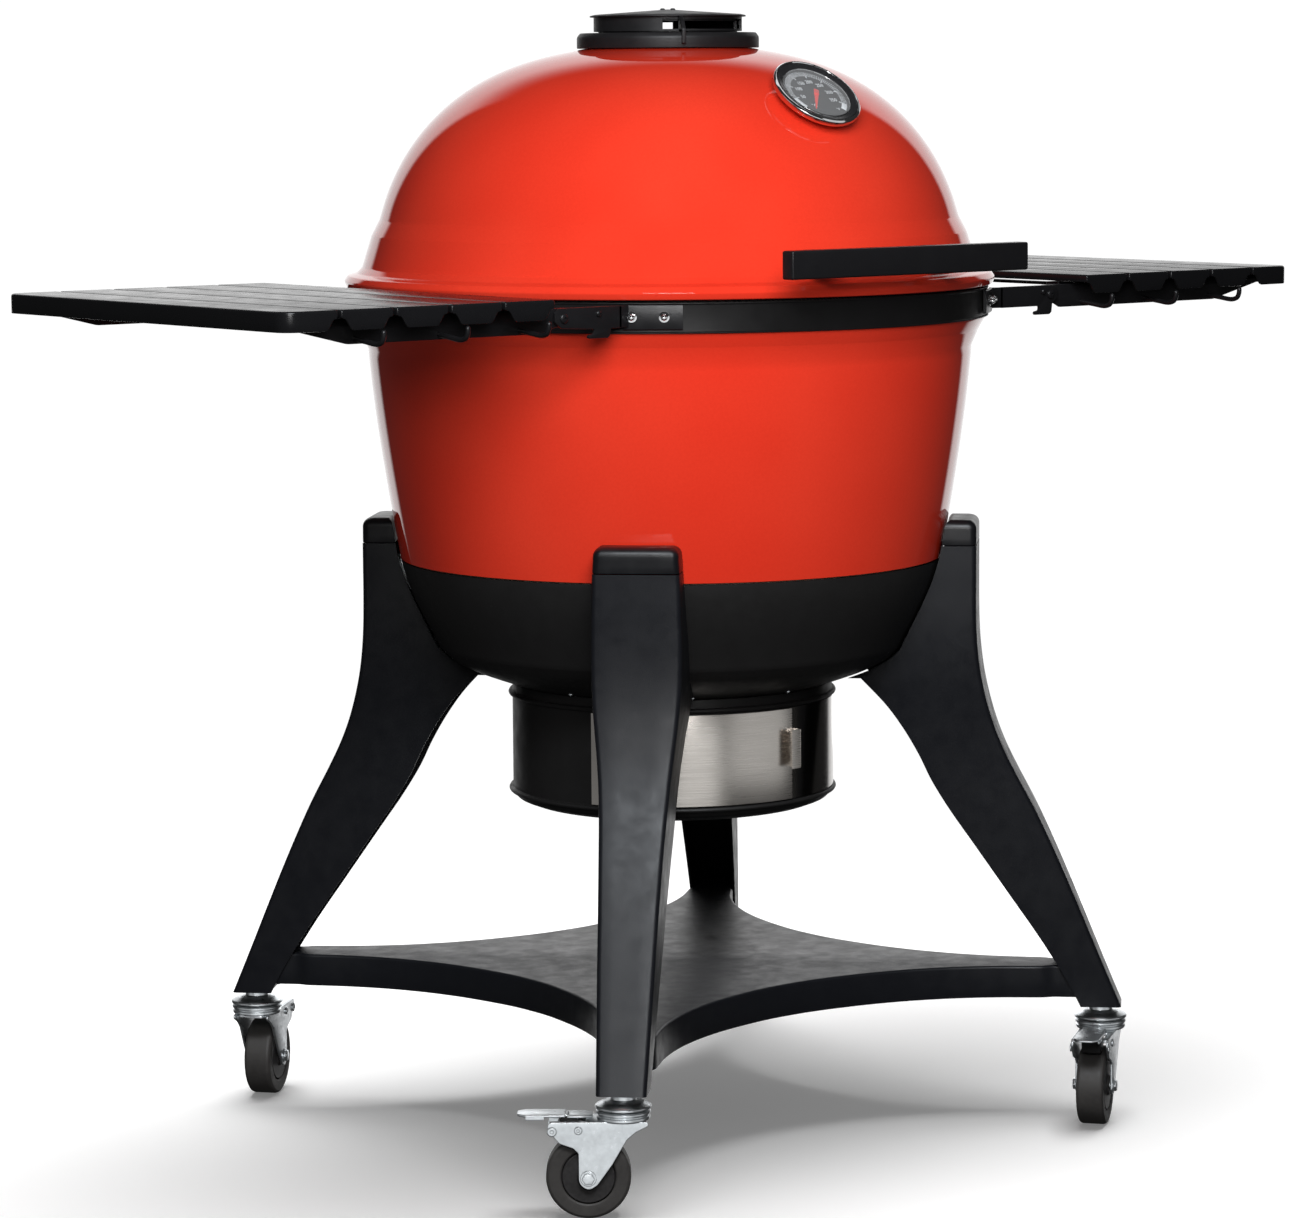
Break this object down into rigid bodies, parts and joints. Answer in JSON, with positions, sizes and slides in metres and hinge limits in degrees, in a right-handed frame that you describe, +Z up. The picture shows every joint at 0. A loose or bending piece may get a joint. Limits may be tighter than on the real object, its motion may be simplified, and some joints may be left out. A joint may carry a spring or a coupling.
{
  "type": "kettle kamado grill",
  "caption": "Ceramic-lined kettle grill with hinged domed lid, turning top vent, sliding air door, folding slatted side shelves, splayed channel legs, lower shelf and swivel casters.",
  "frame": {"origin": "on the ground under the centre line of the bowl, at the centre of the overall footprint", "axes": "+X to the right seen from the front, along both side shelves; -Y towards the user, on the handle side; +Z up"},
  "size_m": [1.28, 0.7609, 1.132],
  "materials": {
    "red_enamel": "high-gloss porcelain enamel over steel, slight orange-peel ripple",
    "heat_black": "matt high-temperature enamel",
    "refractory": "unglazed cast refractory, fine pores",
    "fibre_gasket": "woven glass-fibre gasket",
    "satin_black": "satin powder coat",
    "cast_black": "powder-coated cast aluminium",
    "stainless": "brushed round the circumference",
    "galvanised": "galvanised sheet",
    "cast_iron": "seasoned, slightly rough",
    "slat_black": "semi-gloss powder-coated aluminium slats",
    "zinc_plate": "bright zinc plating",
    "powder_coat": "fine-textured powder coat",
    "wheel_rubber": "hard dark grey tread on a black hub",
    "dial_black": "printed dial face",
    "needle_red": "painted needle",
    "lens_glass": "clear flat lens"
  },
  "bodies": {
    "root": {"base_shell": "red_enamel", "lower_bowl": "heat_black", "base_liner": "refractory", "rim_band": "satin_black", "rim_gasket": "fibre_gasket", "ash_housing": "heat_black", "draft_ring": "stainless", "ash_pan": "galvanised", "charcoal_grate": "cast_iron", "fire_ring": "refractory", "heat_deflector": "refractory", "cooking_grate": "stainless", "hinge_base": "satin_black", "hinge_pin": "zinc_plate", "lower_shelf": "powder_coat", "leg_front_left": "powder_coat", "leg_bracket_front_left": "zinc_plate", "caster_stem_front_left": "zinc_plate", "leg_front_right": "powder_coat", "leg_bracket_front_right": "zinc_plate", "caster_stem_front_right": "zinc_plate", "leg_rear_right": "powder_coat", "leg_bracket_rear_right": "zinc_plate", "caster_stem_rear_right": "zinc_plate", "leg_rear_left": "powder_coat", "leg_bracket_rear_left": "zinc_plate", "caster_stem_rear_left": "zinc_plate", "shelf_bracket_left_front": "satin_black", "shelf_bracket_left_rear": "satin_black", "shelf_bracket_right_front": "satin_black", "shelf_bracket_right_rear": "satin_black"},
    "lid": {"lid_shell": "red_enamel", "lid_liner": "refractory", "vent_base": "cast_black", "handle_bar": "satin_black", "handle_post_left": "satin_black", "handle_post_right": "satin_black", "hinge_strap": "satin_black", "thermometer_case": "stainless", "thermometer_dial": "dial_black", "thermometer_lens": "lens_glass"},
    "vent_cap": {"vent_cap": "cast_black"},
    "thermometer_needle": {"thermometer_needle": "needle_red"},
    "air_door": {"air_door": "stainless"},
    "grate_flap_left": {"grate_flap_left": "stainless"},
    "grate_flap_right": {"grate_flap_right": "stainless"},
    "left_shelf": {"left_shelf_top": "slat_black", "left_shelf_frame": "satin_black"},
    "right_shelf": {"right_shelf_top": "slat_black", "right_shelf_frame": "satin_black"},
    "fork_front_left": {"caster_fork_front_left": "zinc_plate"},
    "wheel_front_left": {"caster_wheel_front_left": "wheel_rubber"},
    "fork_front_right": {"caster_fork_front_right": "zinc_plate"},
    "wheel_front_right": {"caster_wheel_front_right": "wheel_rubber"},
    "fork_rear_right": {"caster_fork_rear_right": "zinc_plate"},
    "wheel_rear_right": {"caster_wheel_rear_right": "wheel_rubber"},
    "fork_rear_left": {"caster_fork_rear_left": "zinc_plate"},
    "wheel_rear_left": {"caster_wheel_rear_left": "wheel_rubber"},
    "pedal_front_left": {"brake_pedal_front_left": "zinc_plate"},
    "pedal_front_right": {"brake_pedal_front_right": "zinc_plate"}
  },
  "joints": [
    {"name": "lid_hinge", "type": "hinge", "parent": "root", "child": "lid", "pos_m": [0, 0.352, 0.852], "axis": [-1, 0, 0], "range_deg": [0, 80]},
    {"name": "vent_turn", "type": "hinge", "parent": "lid", "child": "vent_cap", "pos_m": [0, 0, 1.11], "axis": [0, 0, 1], "range_deg": [0, 90]},
    {"name": "needle_turn", "type": "hinge", "parent": "lid", "child": "thermometer_needle", "pos_m": [0, -0.222, 1.0365], "axis": [0, 0.6428, -0.766], "range_deg": [0, 287]},
    {"name": "air_door_slide", "type": "hinge", "parent": "root", "child": "air_door", "pos_m": [0, 0, 0.389], "axis": [0, 0, 1], "range_deg": [0, 60]},
    {"name": "flap_left_hinge", "type": "hinge", "parent": "root", "child": "grate_flap_left", "pos_m": [-0.1135, 0, 0.8035], "axis": [0, 1, 0], "range_deg": [0, 85]},
    {"name": "flap_right_hinge", "type": "hinge", "parent": "root", "child": "grate_flap_right", "pos_m": [0.1135, 0, 0.8035], "axis": [0, -1, 0], "range_deg": [0, 85]},
    {"name": "left_shelf_fold", "type": "hinge", "parent": "root", "child": "left_shelf", "pos_m": [-0.312, -0.01, 0.8405], "axis": [0, -1, 0], "range_deg": [0, 90]},
    {"name": "right_shelf_fold", "type": "hinge", "parent": "root", "child": "right_shelf", "pos_m": [0.312, -0.01, 0.8405], "axis": [0, 1, 0], "range_deg": [0, 90]},
    {"name": "swivel_front_left", "type": "hinge", "parent": "root", "child": "fork_front_left", "pos_m": [-0.311, -0.311, 0.1], "axis": [0, 0, 1], "continuous": true},
    {"name": "spin_front_left", "type": "hinge", "parent": "fork_front_left", "child": "wheel_front_left", "pos_m": [-0.33675, -0.29036, 0.04], "axis": [-0.6253, -0.7804, 0], "continuous": true},
    {"name": "brake_front_left", "type": "hinge", "parent": "fork_front_left", "child": "pedal_front_left", "pos_m": [-0.34393, -0.28461, 0.086], "axis": [-0.6253, -0.7804, 0], "range_deg": [0, 5]},
    {"name": "swivel_front_right", "type": "hinge", "parent": "root", "child": "fork_front_right", "pos_m": [0.311, -0.311, 0.1], "axis": [0, 0, 1], "continuous": true},
    {"name": "spin_front_right", "type": "hinge", "parent": "fork_front_right", "child": "wheel_front_right", "pos_m": [0.28458, -0.33078, 0.04], "axis": [0.5994, -0.8005, 0], "continuous": true},
    {"name": "brake_front_right", "type": "hinge", "parent": "fork_front_right", "child": "pedal_front_right", "pos_m": [0.27722, -0.33629, 0.086], "axis": [0.5994, -0.8005, 0], "range_deg": [0, 5]},
    {"name": "swivel_rear_right", "type": "hinge", "parent": "root", "child": "fork_rear_right", "pos_m": [0.311, 0.311, 0.1], "axis": [0, 0, 1], "continuous": true},
    {"name": "spin_rear_right", "type": "hinge", "parent": "fork_rear_right", "child": "wheel_rear_right", "pos_m": [0.311, 0.344, 0.04], "axis": [-1, 0, 0], "continuous": true},
    {"name": "swivel_rear_left", "type": "hinge", "parent": "root", "child": "fork_rear_left", "pos_m": [-0.311, 0.311, 0.1], "axis": [0, 0, 1], "continuous": true},
    {"name": "spin_rear_left", "type": "hinge", "parent": "fork_rear_left", "child": "wheel_rear_left", "pos_m": [-0.28547, 0.33191, 0.04], "axis": [-0.6336, 0.7737, 0], "continuous": true}
  ]
}
